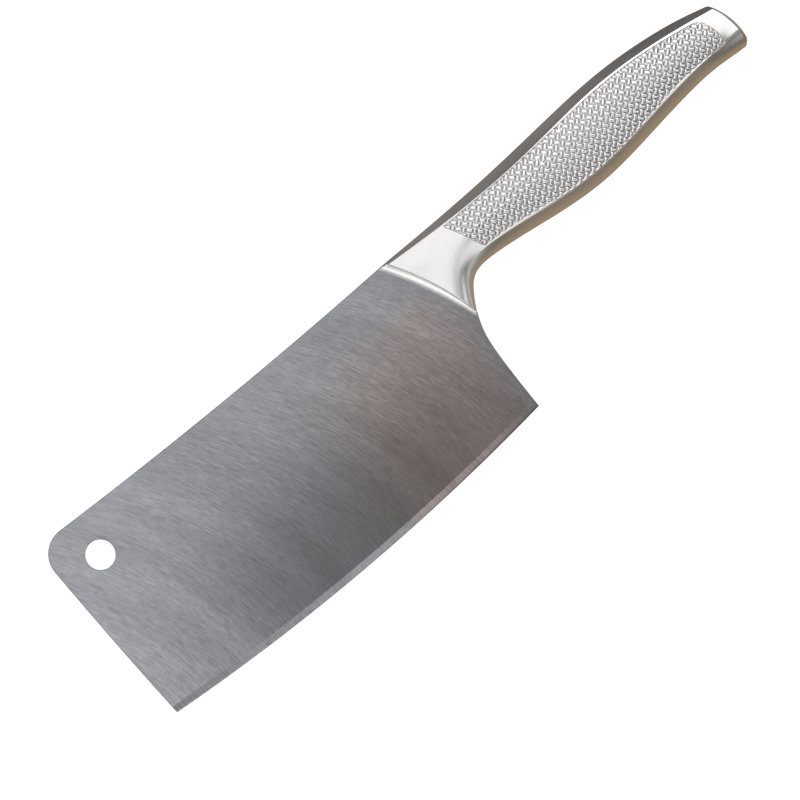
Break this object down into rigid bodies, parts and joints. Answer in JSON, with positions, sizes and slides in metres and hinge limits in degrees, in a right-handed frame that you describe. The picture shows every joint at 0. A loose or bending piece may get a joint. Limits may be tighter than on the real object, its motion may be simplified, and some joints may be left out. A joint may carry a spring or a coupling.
{
  "type": "meat cleaver",
  "caption": "All-steel meat cleaver: broad satin blade with a hang hole, hollow welded handle with a woven-relief grip panel on each side.",
  "frame": {"origin": "under the middle of the cleaver as it lies on its right side, level with the lowest point of the handle", "axes": "+X from the blade's toe to the butt of the handle, +Y from the cutting edge to the spine, +Z out of the blade's left side"},
  "size_m": [0.3, 0.081, 0.0192],
  "materials": {
    "blade_steel": "satin, brushed across the blade",
    "handle_steel": "fine satin, bead blasted in the grip panels",
    "polished_weld": "polished",
    "inner_steel": "as machined",
    "fibre": "pressed fibre",
    "filling": "bonded sand"
  },
  "bodies": {
    "root": {"blade": "blade_steel", "neck_plug": "inner_steel", "neck_weld": "polished_weld", "tang_welds": "inner_steel", "handle_shell_left": "handle_steel", "handle_shell_right": "handle_steel", "seam_weld": "polished_weld", "filling_stopper": "fibre", "balance_filling": "filling"}
  },
  "joints": []
}
